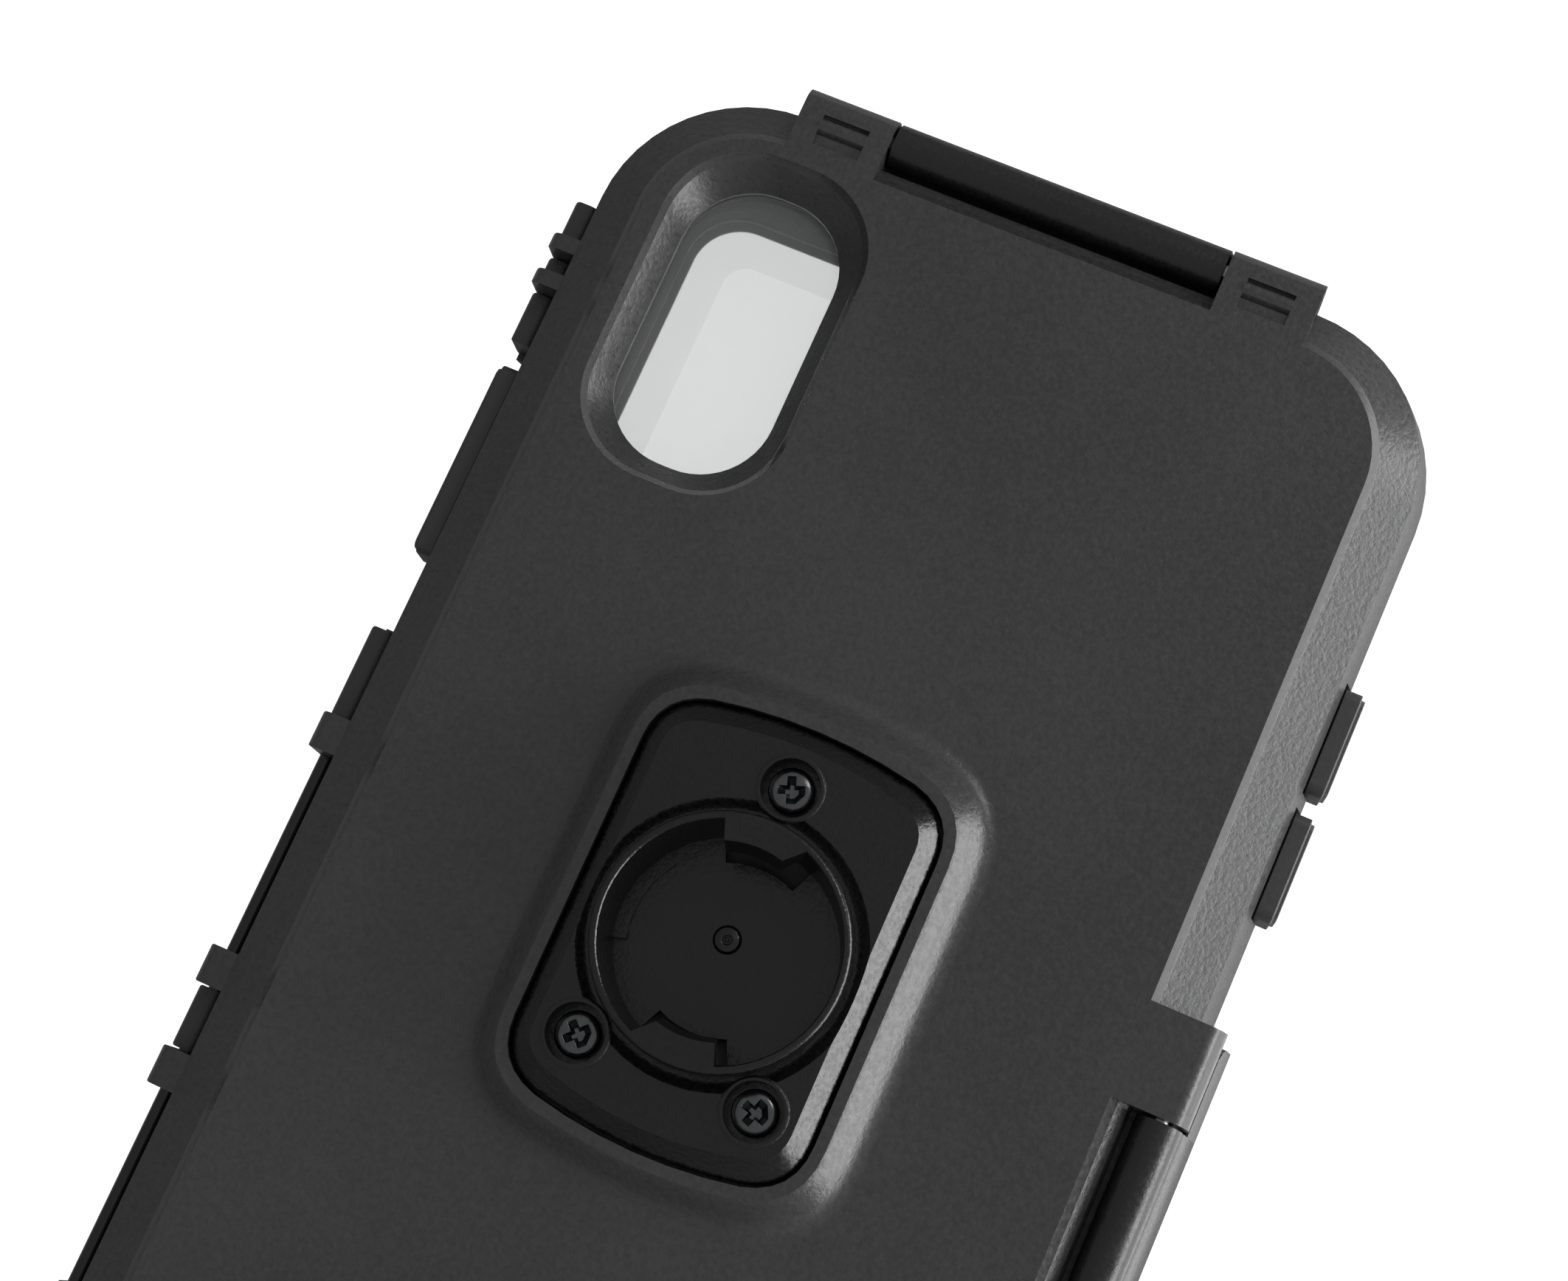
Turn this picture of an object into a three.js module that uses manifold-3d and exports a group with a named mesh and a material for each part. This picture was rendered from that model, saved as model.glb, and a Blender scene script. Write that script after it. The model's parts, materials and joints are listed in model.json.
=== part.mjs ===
// Waterproof clamshell phone case with a bayonet mount socket on its back.
// Millimetres, +Z up. The case lies on its front frame (z = 0) with its back facing up,
// +Y points to the camera end, and the origin is under the middle of the case.
import * as THREE from "three";
import { mergeVertices } from "three/addons/utils/BufferGeometryUtils.js";
import Module from "manifold-3d";

const wasm = await Module();
wasm.setup();

// ---- Driving dimensions ----
const GAP = 0.3; // air between two parts that rest on each other
const THROUGH = 1; // how far a cutter runs past the face it cuts
const CORNER = 6; // two facets per step on a quarter turn of an outline
const ROUND = 9; // two facets per step on a full circle
const RING_FACETS = 60;

// Levels of the closed case, from the front face (0) to the mount ring
const FRAME_TOP = 8.0;
const SHELL_BOTTOM = FRAME_TOP + GAP;
const CAVITY_TOP = 14.5;
const RIM_Z = 13.4;
const SHOULDER_Z = 15.95;
const BACK_Z = 16.5;
const LATCH_BLOCK_Z = 9.9; // underside of the thick stretches behind the latches

// Half length, half width and corner radius of the outlines, measured at their level
const CREASE = { x: 36.65, y: 72.9, r: 10.3 };
const SHOULDER = { x: 37.35, y: 73.6, r: 11.0 };
const RIM = { x: 41.55, y: 77.45, r: 15.0 };
const PARTING = { x: 42.9, y: 78.8, r: 16.4 };
const SHELL_INSIDE = { x: 39.6, y: 75.5, r: 13.0 };
const POCKET = { x: 37.2, y: 73.1, r: 10.6 };
const DISPLAY = { x: 33.8, y: 68.9, r: 5.0 };

// Camera window
const WINDOW = { cx: -24.6, cy: 54.4, x: 8.0, y: 14.5, r: 7.3 };
const WINDOW_MOUTH = { cx: -24.5, cy: 54.45, x: 9.9, y: 16.7, r: 8.2 };
const WINDOW_EDGE = 0.5;
const WINDOW_LEDGE_Z = 12.95;
const WINDOW_BOSS_Z = 10.9;
const WINDOW_BOSS_WALL = 3.4;
const LENS_LAP = 1.5;
const LENS_THICK = 1.0;

// Mount plate, plateau and bayonet ring
const PLATEAU_HEIGHT = 2.6;
const PLATEAU_PROFILE = [
  [4.8, 0], [4.0, 0.15], [3.3, 0.55], [2.6, 1.2], [2.0, 1.8], [1.5, 2.3], [1.1, PLATEAU_HEIGHT],
];
const PLATE_POCKET_Z = 13.6;
const PLATE_BOSS_Z = 11.9;
const PLATE_BOTTOM = 14.7;
const PLATE_TOP = 20.4;
const PLATE_GAP = 0.35;
const PLATE_CHAMFER = 1.75;
const GASKET_THICK = 0.5;
const SOCKET_FLOOR = 15.6;
const RING_TOP = 22.5;
const RING_OUTER = 11.75;
const RING_INNER = 10.95;
const SOCKET_FLOOR_RADIUS = 10.3;
const MOAT = [[0, 0.5], [0.3, 0.5], [0.65, 0.42], [0.95, 0.28], [1.25, 0.1], [1.45, 0]];
const LIP_ROUND = 0.5;
const LIP_CHAMFER = 0.12;
const LUG = { inner: 8.95, lower: 8.3, thick: 2.3, halfAngle: 21.5, slotInner: 8.0, slotHalfAngle: 24.5 };
const RAMP = { inner: 9.1, from: 126, to: 197, height: 0.6, steps: 4 };
const PIP = { x: -0.3, y: 0.9, radius: 1.35, height: 0.42, hole: 0.42 };

// Mount screws
const SCREWS = [[0, 15.2], [-8.65, -12.35], [8.65, -12.35]];
const SCREW = { head: 2.15, headHeight: 1.4, headTop: 19.7, shank: 1.1, tip: 14.0 };
const SCREW_CROSS = { width: 0.85, arm: 2.7, depth: 1.1, taper: 0.45 };
const COUNTERBORE = 2.75;
const COLLAR = { inner: 2.85, outer: 3.2, height: 0.2 };
const SEAT_Z = SCREW.headTop - SCREW.headHeight - GAP;
const POST = { outer: 2.9, top: 16.9, bore: 2.15 };
const INSERT = { outer: 1.85, inner: 1.35, top: 16.6 };

// Latches: u points outwards from the pivot, w points up, and s runs along the pin
const PIVOT_Z = 14.1;
const TOP_PIVOT_Y = 77.75;
const SIDE_PIVOT_X = 41.5;
const SIDE_LATCH_Y = -15.55;
const TUBE_RADIUS = 2.2;
const TUBE_HALF = 16.95;
const EAR_START = 17.25;
const EAR_END = 26.5;
const PLATE_HALF = 25.7;
const PLATE_CORNER = 1.8;
const HOOK_HALF = 15.0;
const LATCH_PIN = 0.75;
const PIN_CLEARANCE = 0.3;
const EAR_HOLLOW = { radius: 1.3, depth: 1.6 };
const EAR_RELIEF = { from: 19.4, to: 24.2, near: -3.6, far: -0.45, depth: 0.45, bar: 1.05 };
const FLUSH = 0.02;
const FACE_W = BACK_Z - PIVOT_Z;
const EAR_ROUND = 1.8;
const TOP_EAR_REACH = 2.1;
const SIDE_EAR_REACH = 2.6;

// Hinge on the long side opposite the side latch
const HINGE_X = -43.25;
const HINGE_Z = 9.0;
const TAB_RADIUS = 1.4;
const KNUCKLE_RADIUS = 1.3;
const KNUCKLE_SHOULDER = { outer: -44.7, top: 10.3, round: 0.8 };
const HINGE_PIN = 0.8;
const PIN_HOLE = 0.95;
const PIN_CHANNEL = 1.15;
const HINGE_GAP = 0.45;
const TABS = [[55.9, 57.5], [52.0, 53.6], [2.2, 5.8], [-21.8, -18.1], [-31.9, -28.2], [-60.6, -57.6]];
const KNUCKLES = [
  [57.65, 62.1], [53.75, 55.75], [46.5, 51.85], [5.95, 15.4], [-28.05, -21.95], [-57.45, -51.3],
];
const HINGE_PINS = { hinge_pin_upper: [47.6, 61.6], hinge_pin_lower: [-59.7, 14.6] };
const BARREL_END = 0.45;
const KNUCKLE_FOOT = { outer: -44.3, top: 6.4, beyond: 0.7 };

// Button pads on the front frame: side is +1 on the right and -1 on the hinge side
const BUTTONS = {
  power_button: { side: -1, y: 33.8, half: 10.2 },
  volume_up_button: { side: 1, y: 40.35, half: 5.3 },
  volume_down_button: { side: 1, y: 27.7, half: 5.3 },
};
const PAD = { inner: 42.35, outer: 44.45, bottom: 5.2, top: 10.6, r: 1.0 };
const PAD_RECESS_X = 41.6;
const PAD_NOTCH_X = 41.3;
const STEM = { halfY: 2.2, z: 5.7, halfZ: 1.0, inner: 36.5 };
const STEM_BORE = 0.35;
const SEAL_RING = { wall: 0.7, thick: 1.2, x: 38.4 };

// Weather seal and tongue on the front frame
const TONGUE = { outer: 39.2, inner: 37.8, top: 9.5 };
const SEAL_GROOVE = { outer: 41.0, inner: 39.8, bottom: 6.9 };

// Screen membrane
const BEZEL_Z = 1.9;
const MEMBRANE_LEDGE_Z = 0.6;
const MEMBRANE = { lap: 1.6, bottom: 0.9, top: 1.2 };

// Charging port door on the bottom end
const PORT = { x: 7.0, low: 2.5, high: 7.3, r: 1.5 };
const DOOR = { x: 8.2, low: 1.7, inner: -79.2, outer: -80.7 };
const DOOR_PIVOT = { y: -80.0, z: 8.3, radius: 0.85, pin: 0.4, bore: 0.6 };
const DOOR_LUG = [8.5, 10.4];
const PLUG = { x: 5.6, y: 1.1, r: 0.7, cy: 5.0, reach: -77.6 };
const DOOR_SEAL = { x: 6.6, y: 2.0, r: 1.2, cy: 5.0, inner: -77.9, outer: -78.5 };
const VENT = { x: 17, half: 4.2, z: 5.0, halfZ: 1.1, mesh: 0.5 };

// ---- Materials ----
function plastic(color, roughness, metalness = 0) {
  return new THREE.MeshStandardMaterial({ color, roughness, metalness });
}

const shellPlastic = plastic(0x1b1c1d, 0.62);
const framePlastic = plastic(0x17181a, 0.5);
const latchPlastic = plastic(0x131415, 0.38);
const platePlastic = plastic(0x101112, 0.34);
const rubber = plastic(0x1d1e1f, 0.8);
const foam = plastic(0x2a2b2c, 0.95);
const steel = plastic(0x4a4c4e, 0.3, 1);
const brass = plastic(0xb08a4a, 0.35, 1);
const clearPlastic = new THREE.MeshStandardMaterial({
  color: 0xe8eef0, roughness: 0.05, transparent: true, opacity: 0.3,
});

// ---- Solids ----
function solid(geometry) {
  const bare = geometry.index ? geometry.toNonIndexed() : geometry.clone();
  bare.deleteAttribute("normal");
  bare.deleteAttribute("uv");
  const merged = mergeVertices(bare, 1e-4);
  return new wasm.Manifold(new wasm.Mesh({
    numProp: 3,
    vertProperties: new Float32Array(merged.attributes.position.array),
    triVerts: new Uint32Array(merged.index.array),
  }));
}

function union(solids) {
  return solids.reduce((sum, next) => sum.add(next));
}

function part(name, body, material) {
  const data = body.getMesh();
  const geometry = new THREE.BufferGeometry();
  geometry.setAttribute("position", new THREE.BufferAttribute(data.vertProperties, 3));
  geometry.setIndex(new THREE.BufferAttribute(data.triVerts, 1));
  geometry.computeVertexNormals();
  const mesh = new THREE.Mesh(geometry, material);
  mesh.name = name;
  return mesh;
}

// A prism from a shape, between two levels
function prism(shape, low, high, segments = CORNER) {
  const geometry = new THREE.ExtrudeGeometry(shape, {
    depth: high - low, bevelEnabled: false, curveSegments: segments,
  });
  geometry.translate(0, 0, low);
  return solid(geometry);
}

// A solid through outlines with the same number of points, from the lowest to the highest
function loft(sections, segments = CORNER) {
  const rings = sections.map(({ shape }) => shape.getPoints(segments).slice(0, -1));
  const count = rings[0].length;
  const vertices = [];
  sections.forEach(({ z }, level) => rings[level].forEach(({ x, y }) => vertices.push(x, y, z)));
  const faces = [];
  for (let level = 0; level + 1 < rings.length; level++) {
    for (let i = 0; i < count; i++) {
      const a = level * count + i;
      const b = level * count + (i + 1) % count;
      faces.push(a, b, b + count, a, b + count, a + count);
    }
  }
  const cap = THREE.ShapeUtils.triangulateShape(rings[0], []);
  const last = (rings.length - 1) * count;
  cap.forEach(([a, b, c]) => faces.push(a, c, b));
  cap.forEach(([a, b, c]) => faces.push(last + a, last + b, last + c));
  const geometry = new THREE.BufferGeometry();
  geometry.setAttribute("position", new THREE.Float32BufferAttribute(vertices, 3));
  geometry.setIndex(faces);
  return solid(geometry);
}

function box(low, high) {
  const size = high.map((value, axis) => value - low[axis]);
  const geometry = new THREE.BoxGeometry(...size);
  geometry.translate(...low.map((value, axis) => value + size[axis] / 2));
  return solid(geometry);
}

// A cylinder standing on z = low
function disc(x, y, radius, low, high, segments = 18) {
  const geometry = new THREE.CylinderGeometry(radius, radius, high - low, segments);
  geometry.rotateX(Math.PI / 2);
  geometry.translate(x, y, (low + high) / 2);
  return solid(geometry);
}

// A shape drawn in a plane across a straight run: u outwards, w up, s along the run
function bar(shape, from, to, toWorld, segments = ROUND) {
  const geometry = new THREE.ExtrudeGeometry(shape, {
    depth: to - from, bevelEnabled: false, curveSegments: segments,
  });
  geometry.translate(0, 0, from);
  geometry.applyMatrix4(toWorld);
  return solid(geometry);
}

function circle(radius, x = 0, y = 0) {
  return new THREE.Shape().absarc(x, y, radius, 0, 2 * Math.PI);
}

function polygon(points) {
  return new THREE.Shape(points.map(([x, y]) => new THREE.Vector2(x, y)));
}

function roundedBox({ x, y, r, cx = 0, cy = 0 }, grow = 0) {
  const [halfX, halfY, radius] = [x + grow, y + grow, r + grow];
  const shape = new THREE.Shape();
  shape.moveTo(cx + halfX, cy - halfY + radius);
  shape.lineTo(cx + halfX, cy + halfY - radius);
  shape.absarc(cx + halfX - radius, cy + halfY - radius, radius, 0, Math.PI / 2);
  shape.lineTo(cx - halfX + radius, cy + halfY);
  shape.absarc(cx - halfX + radius, cy + halfY - radius, radius, Math.PI / 2, Math.PI);
  shape.lineTo(cx - halfX, cy - halfY + radius);
  shape.absarc(cx - halfX + radius, cy - halfY + radius, radius, Math.PI, 1.5 * Math.PI);
  shape.lineTo(cx + halfX - radius, cy - halfY);
  shape.absarc(cx + halfX - radius, cy - halfY + radius, radius, 1.5 * Math.PI, 2 * Math.PI);
  return shape;
}

// A ring with an even wall, between two rounded boxes
function roundedRing(outline, outer, inner, low, high) {
  const base = outline.x;
  const outside = prism(roundedBox(outline, outer - base), low, high);
  return outside.subtract(prism(roundedBox(outline, inner - base), low - THROUGH, high + THROUGH));
}

// A pie slice of a ring, with its angles in degrees
function sector(inner, outer, from, to) {
  const [start, end] = [THREE.MathUtils.degToRad(from), THREE.MathUtils.degToRad(to)];
  const shape = new THREE.Shape();
  shape.absarc(0, 0, outer, start, end, false);
  shape.absarc(0, 0, inner, end, start, true);
  return shape;
}

// ---- Outline of the mount pocket: straight sides, bulging ends, round corners ----
const PLATE_OUTLINE = { x: 14.6, topMid: 21.15, topCorner: 19.0, lowMid: -19.75, lowCorner: -17.5, r: 4.6 };

function plateOutline(grow) {
  const { x, topMid, topCorner, lowMid, lowCorner, r } = PLATE_OUTLINE;
  const half = x + grow;
  const radius = r + grow;
  const [high, highMid] = [topCorner + grow, topMid + grow];
  const [low, lowestMid] = [lowCorner - grow, lowMid - grow];
  const shoulder = (corner, mid) => mid + (corner - mid) * ((half - radius) / half) ** 2;
  const [highShoulder, lowShoulder] = [shoulder(high, highMid), shoulder(low, lowestMid)];
  const shape = new THREE.Shape();
  shape.moveTo(half, low + radius);
  shape.lineTo(half, high - radius);
  shape.quadraticCurveTo(half, high, half - radius, highShoulder);
  shape.quadraticCurveTo(0, 2 * highMid - highShoulder, radius - half, highShoulder);
  shape.quadraticCurveTo(-half, high, -half, high - radius);
  shape.lineTo(-half, low + radius);
  shape.quadraticCurveTo(-half, low, radius - half, lowShoulder);
  shape.quadraticCurveTo(0, 2 * lowestMid - lowShoulder, half - radius, lowShoulder);
  shape.quadraticCurveTo(half, low, half, low + radius);
  return shape;
}

// ---- Latch stations: where u, w and s lie in the case ----
const topLatchFrame = new THREE.Matrix4().makeBasis(
  new THREE.Vector3(0, 1, 0), new THREE.Vector3(0, 0, 1), new THREE.Vector3(1, 0, 0),
).setPosition(0, TOP_PIVOT_Y, PIVOT_Z);
const sideLatchFrame = new THREE.Matrix4().makeBasis(
  new THREE.Vector3(1, 0, 0), new THREE.Vector3(0, 0, 1), new THREE.Vector3(0, -1, 0),
).setPosition(SIDE_PIVOT_X, SIDE_LATCH_Y, PIVOT_Z);

function earShape(reach) {
  const shape = new THREE.Shape();
  shape.moveTo(-6, FACE_W);
  shape.lineTo(reach - EAR_ROUND, FACE_W);
  shape.absarc(reach - EAR_ROUND, FACE_W - EAR_ROUND, EAR_ROUND, Math.PI / 2, 0, true);
  shape.lineTo(reach + 0.05, -1.2);
  shape.lineTo(0.9, -3.6);
  shape.lineTo(-1.4, -4.0);
  shape.lineTo(-4.4, -1.6);
  shape.lineTo(-6, FACE_W - 1);
  return shape;
}

function troughShape() {
  return polygon([
    [-4.75, FACE_W + THROUGH], [-4.7, FACE_W], [-3.1, 0.9], [-2.7, -0.2], [-2.65, -2.9],
    [6, -2.9], [6, FACE_W + THROUGH],
  ]);
}

function hookGrooveShape() {
  return polygon([[-0.7, -11.8], [5, -11.8], [5, -8.2], [1.6, -8.2], [-0.7, -9.2]]);
}

// Adds the two ears of a latch to the shell and cuts the trough between them
function latchSeat(shell, frame, reach) {
  const ears = [-1, 1].map((side) => {
    const ends = [side * EAR_START, side * EAR_END].sort((a, b) => a - b);
    return bar(earShape(reach), ...ends, frame);
  });
  const trough = bar(troughShape(), -EAR_START, EAR_START, frame);
  const bore = bar(circle(LATCH_PIN + PIN_CLEARANCE), -EAR_END - FLUSH, EAR_END + FLUSH, frame);
  const hollows = [-1, 1].map((side) => {
    const ends = [side * (EAR_END - EAR_HOLLOW.depth), side * (EAR_END + FLUSH)].sort((a, b) => a - b);
    return bar(circle(EAR_HOLLOW.radius), ...ends, frame);
  });
  return shell.add(union(ears)).subtract(trough).subtract(bore).subtract(union(hollows));
}

// A sunk patch with a rounded bar across it, on top of each ear
function earRelief(shell, frame) {
  const { from, to, near, far, depth, bar: radius } = EAR_RELIEF;
  let relieved = shell;
  for (const side of [-1, 1]) {
    const ends = [side * from, side * to].sort((a, b) => a - b);
    const patch = [[near, FACE_W - depth], [far, FACE_W - depth], [far, FACE_W + 1], [near, FACE_W + 1]];
    relieved = relieved.subtract(bar(polygon(patch), ...ends, frame));
    const middle = circle(radius, far - radius, FACE_W - radius + 0.12);
    relieved = relieved.add(bar(middle, ends[0] - 0.1, ends[1] + 0.1, frame));
  }
  return relieved;
}

// ---- Back shell ----
function shellBlank() {
  const outside = loft([
    { shape: roundedBox(PARTING), z: SHELL_BOTTOM },
    { shape: roundedBox(RIM), z: RIM_Z },
    { shape: roundedBox(SHOULDER), z: SHOULDER_Z },
    { shape: roundedBox(CREASE), z: BACK_Z },
  ]);
  const foot = plateOutline(PLATEAU_PROFILE[0][0]);
  const levels = PLATEAU_PROFILE.map(([grow, height]) => ({ shape: plateOutline(grow), z: BACK_Z + height }));
  return outside.add(loft([{ shape: foot, z: BACK_Z - THROUGH }, ...levels]));
}

function shellCavity() {
  const low = prism(roundedBox(SHELL_INSIDE), SHELL_BOTTOM - THROUGH, LATCH_BLOCK_Z);
  const topBlock = box([-27.5, 72.9, LATCH_BLOCK_Z], [27.5, 80, BACK_Z]);
  const sideBlock = box([36.6, SIDE_LATCH_Y - 27.5, LATCH_BLOCK_Z], [44, SIDE_LATCH_Y + 27.5, BACK_Z]);
  const high = prism(roundedBox(SHELL_INSIDE), LATCH_BLOCK_Z - 0.1, CAVITY_TOP);
  return low.add(high.subtract(topBlock).subtract(sideBlock));
}

function windowBoss() {
  return prism(roundedBox(WINDOW, WINDOW_BOSS_WALL), WINDOW_BOSS_Z, CAVITY_TOP + 0.2);
}

function windowCut() {
  const well = loft([
    { shape: roundedBox(WINDOW), z: WINDOW_LEDGE_Z - THROUGH },
    { shape: roundedBox(WINDOW), z: WINDOW_LEDGE_Z + 0.4 },
    { shape: roundedBox(WINDOW_MOUTH), z: BACK_Z - WINDOW_EDGE },
    { shape: roundedBox(WINDOW_MOUTH, WINDOW_EDGE), z: BACK_Z },
    { shape: roundedBox(WINDOW_MOUTH, WINDOW_EDGE), z: BACK_Z + THROUGH },
  ]);
  const lap = LENS_LAP + GAP;
  return well.add(prism(roundedBox(WINDOW, lap), WINDOW_BOSS_Z - THROUGH, WINDOW_LEDGE_Z));
}

function mountSeat() {
  return prism(plateOutline(2.0), PLATE_BOSS_Z, BACK_Z);
}

function mountPosts() {
  return union(SCREWS.map(([x, y]) => {
    const post = disc(x, y, POST.outer, PLATE_POCKET_Z - GAP, POST.top);
    return post.subtract(disc(x, y, POST.bore, PLATE_POCKET_Z, POST.top + THROUGH));
  }));
}

// The closed run of the hinge tabs, seen along the pin
function tabShape() {
  const shape = new THREE.Shape();
  const round = 1.5;
  shape.moveTo(-40.6, RIM_Z);
  shape.lineTo(HINGE_X - TAB_RADIUS + round, RIM_Z - 0.05);
  shape.absarc(HINGE_X - TAB_RADIUS + round, RIM_Z - 0.05 - round, round, Math.PI / 2, Math.PI, false);
  shape.lineTo(HINGE_X - TAB_RADIUS, HINGE_Z);
  shape.absarc(HINGE_X, HINGE_Z, TAB_RADIUS, Math.PI, 2 * Math.PI, false);
  shape.lineTo(HINGE_X + TAB_RADIUS, 10.4);
  shape.lineTo(-40.6, 10.4);
  return shape;
}

const alongY = new THREE.Matrix4().makeBasis(
  new THREE.Vector3(1, 0, 0), new THREE.Vector3(0, 0, 1), new THREE.Vector3(0, -1, 0),
);

function runAlongY(shape, low, high) {
  return bar(shape, -high, -low, alongY);
}

// The bores are open at their +y ends, where the pins go in
function hingeBore() {
  const bores = Object.values(HINGE_PINS).map(([low, high]) => {
    return runAlongY(circle(PIN_HOLE, HINGE_X, HINGE_Z), low - GAP, high + 1.5);
  });
  return union(bores);
}

// A hinge barrel whose outer corners are rounded, seen from above
function hingeBarrel(shape, [low, high], outer) {
  const inner = -38;
  const outline = {
    x: (inner - outer) / 2,
    y: (high - low) / 2,
    r: BARREL_END,
    cx: (inner + outer) / 2,
    cy: (low + high) / 2,
  };
  const limits = prism(roundedBox(outline), 0, RIM_Z + THROUGH);
  return runAlongY(shape, low - THROUGH, high + THROUGH).intersect(limits);
}

// Room round the other half's barrels, and round the bare stretches of the pins
function hingeRoom(barrels, radius) {
  const rooms = barrels.map(([low, high]) => {
    return runAlongY(circle(radius + HINGE_GAP, HINGE_X, HINGE_Z), low - GAP, high + GAP);
  });
  const channels = Object.values(HINGE_PINS).map(([low, high]) => {
    return runAlongY(circle(PIN_CHANNEL, HINGE_X, HINGE_Z), low - GAP, high + GAP);
  });
  return union([...rooms, ...channels]);
}

// Room in the shell for a pad that stands up past the parting line
function padNotch({ side, y, half }) {
  const [near, far] = [side * PAD_NOTCH_X, side * (PAD.outer + THROUGH)].sort((a, b) => a - b);
  return box([near, y - half - GAP, SHELL_BOTTOM - THROUGH], [far, y + half + GAP, PAD.top + GAP]);
}

function backShell() {
  let shell = shellBlank().subtract(shellCavity());
  shell = shell.add(windowBoss()).add(mountSeat());
  shell = latchSeat(shell, topLatchFrame, TOP_EAR_REACH);
  shell = latchSeat(shell, sideLatchFrame, SIDE_EAR_REACH);
  shell = earRelief(shell, topLatchFrame);
  shell = shell.subtract(hingeRoom(KNUCKLES, KNUCKLE_RADIUS));
  shell = shell.add(union(TABS.map((ends) => hingeBarrel(tabShape(), ends, HINGE_X - TAB_RADIUS))));
  shell = shell.subtract(hingeBore()).subtract(windowCut());
  shell = shell.subtract(prism(plateOutline(0), PLATE_POCKET_Z, BACK_Z + PLATEAU_HEIGHT + THROUGH));
  shell = shell.add(mountPosts());
  shell = shell.subtract(union(Object.values(BUTTONS).map(padNotch)));
  return part("back_shell", shell, shellPlastic);
}

// ---- Camera window ----
function cameraLens() {
  const top = WINDOW_LEDGE_Z - GAP;
  return part("camera_lens", prism(roundedBox(WINDOW, LENS_LAP), top - LENS_THICK, top), clearPlastic);
}

function lensRetainer() {
  const top = WINDOW_LEDGE_Z - LENS_THICK - 2 * GAP;
  const ring = roundedRing(WINDOW, WINDOW.x + LENS_LAP, WINDOW.x + 0.4, WINDOW_BOSS_Z, top);
  return part("camera_lens_retainer", ring, rubber);
}

// ---- Mount ----
function socketCut() {
  const profile = [
    [0, SOCKET_FLOOR], [SOCKET_FLOOR_RADIUS, SOCKET_FLOOR], [RING_INNER, RING_TOP - LIP_CHAMFER],
    [RING_INNER + LIP_CHAMFER, RING_TOP], [RING_INNER + LIP_CHAMFER, RING_TOP + THROUGH],
    [0, RING_TOP + THROUGH],
  ].map(([x, y]) => new THREE.Vector2(x, y));
  return solid(new THREE.LatheGeometry(profile, RING_FACETS).rotateX(Math.PI / 2));
}

// The hollowed groove round the foot of the ring
function moatCut() {
  const curve = MOAT.map(([out, depth]) => new THREE.Vector2(RING_OUTER + out, PLATE_TOP - depth));
  const outer = curve.at(-1).x;
  const profile = [
    ...curve,
    new THREE.Vector2(outer, PLATE_TOP + THROUGH),
    new THREE.Vector2(RING_OUTER, PLATE_TOP + THROUGH),
    curve[0].clone(),
  ];
  return solid(new THREE.LatheGeometry(profile, RING_FACETS).rotateX(Math.PI / 2));
}

function screwCollar(x, y) {
  const { inner, outer, height } = COLLAR;
  const profile = [
    [COUNTERBORE - 0.1, PLATE_TOP - 0.2], [outer, PLATE_TOP - 0.2], [outer, PLATE_TOP + height / 2],
    [inner + 0.15, PLATE_TOP + height],
    [COUNTERBORE - 0.1, PLATE_TOP + height],
    [COUNTERBORE - 0.1, PLATE_TOP - 0.2],
  ].map(([r, z]) => new THREE.Vector2(r, z));
  return solid(new THREE.LatheGeometry(profile, 30).rotateX(Math.PI / 2).translate(x, y, 0));
}

function bayonetLug(centre) {
  const top = sector(LUG.inner, RING_INNER + 0.4, centre - LUG.halfAngle, centre + LUG.halfAngle);
  const low = sector(LUG.lower, RING_INNER + 0.4, centre - LUG.halfAngle, centre + LUG.halfAngle);
  return loft([{ shape: low, z: RING_TOP - LUG.thick }, { shape: top, z: RING_TOP }], 3);
}

function lugSlot(centre) {
  const [from, to] = [centre - LUG.slotHalfAngle, centre + LUG.slotHalfAngle];
  const shape = sector(LUG.slotInner, SOCKET_FLOOR_RADIUS, from, to);
  return prism(shape, PLATE_BOTTOM - THROUGH, SOCKET_FLOOR + 0.1, 3);
}

// A ramp that climbs in small steps towards its stop
function lockRamp(turn) {
  const step = (RAMP.to - RAMP.from) / RAMP.steps;
  const steps = Array.from({ length: RAMP.steps }, (_, i) => {
    const from = turn + RAMP.from + i * step;
    const shape = sector(RAMP.inner, SOCKET_FLOOR_RADIUS + 0.3, from, turn + RAMP.to);
    const height = RAMP.height * (i + 1) / RAMP.steps;
    return prism(shape, SOCKET_FLOOR - 0.2, SOCKET_FLOOR + height, 3);
  });
  return union(steps);
}

// A shallow button in the middle of the socket floor, with a dimple and a peg in it
function pip() {
  const { radius, height, hole } = PIP;
  const profile = [
    [0, -0.2], [radius, -0.2], [radius, 0.02], [radius - 0.25, 0.7 * height], [hole + 0.15, height],
    [hole, 0.8 * height], [hole, 0], [hole / 2, 0], [hole / 3, 0.6 * height], [0, 0.7 * height],
  ];
  const points = profile.map(([x, y]) => new THREE.Vector2(x, y));
  const dome = new THREE.LatheGeometry(points, 20).rotateX(Math.PI / 2);
  dome.translate(PIP.x, PIP.y, SOCKET_FLOOR);
  return solid(dome);
}

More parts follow.
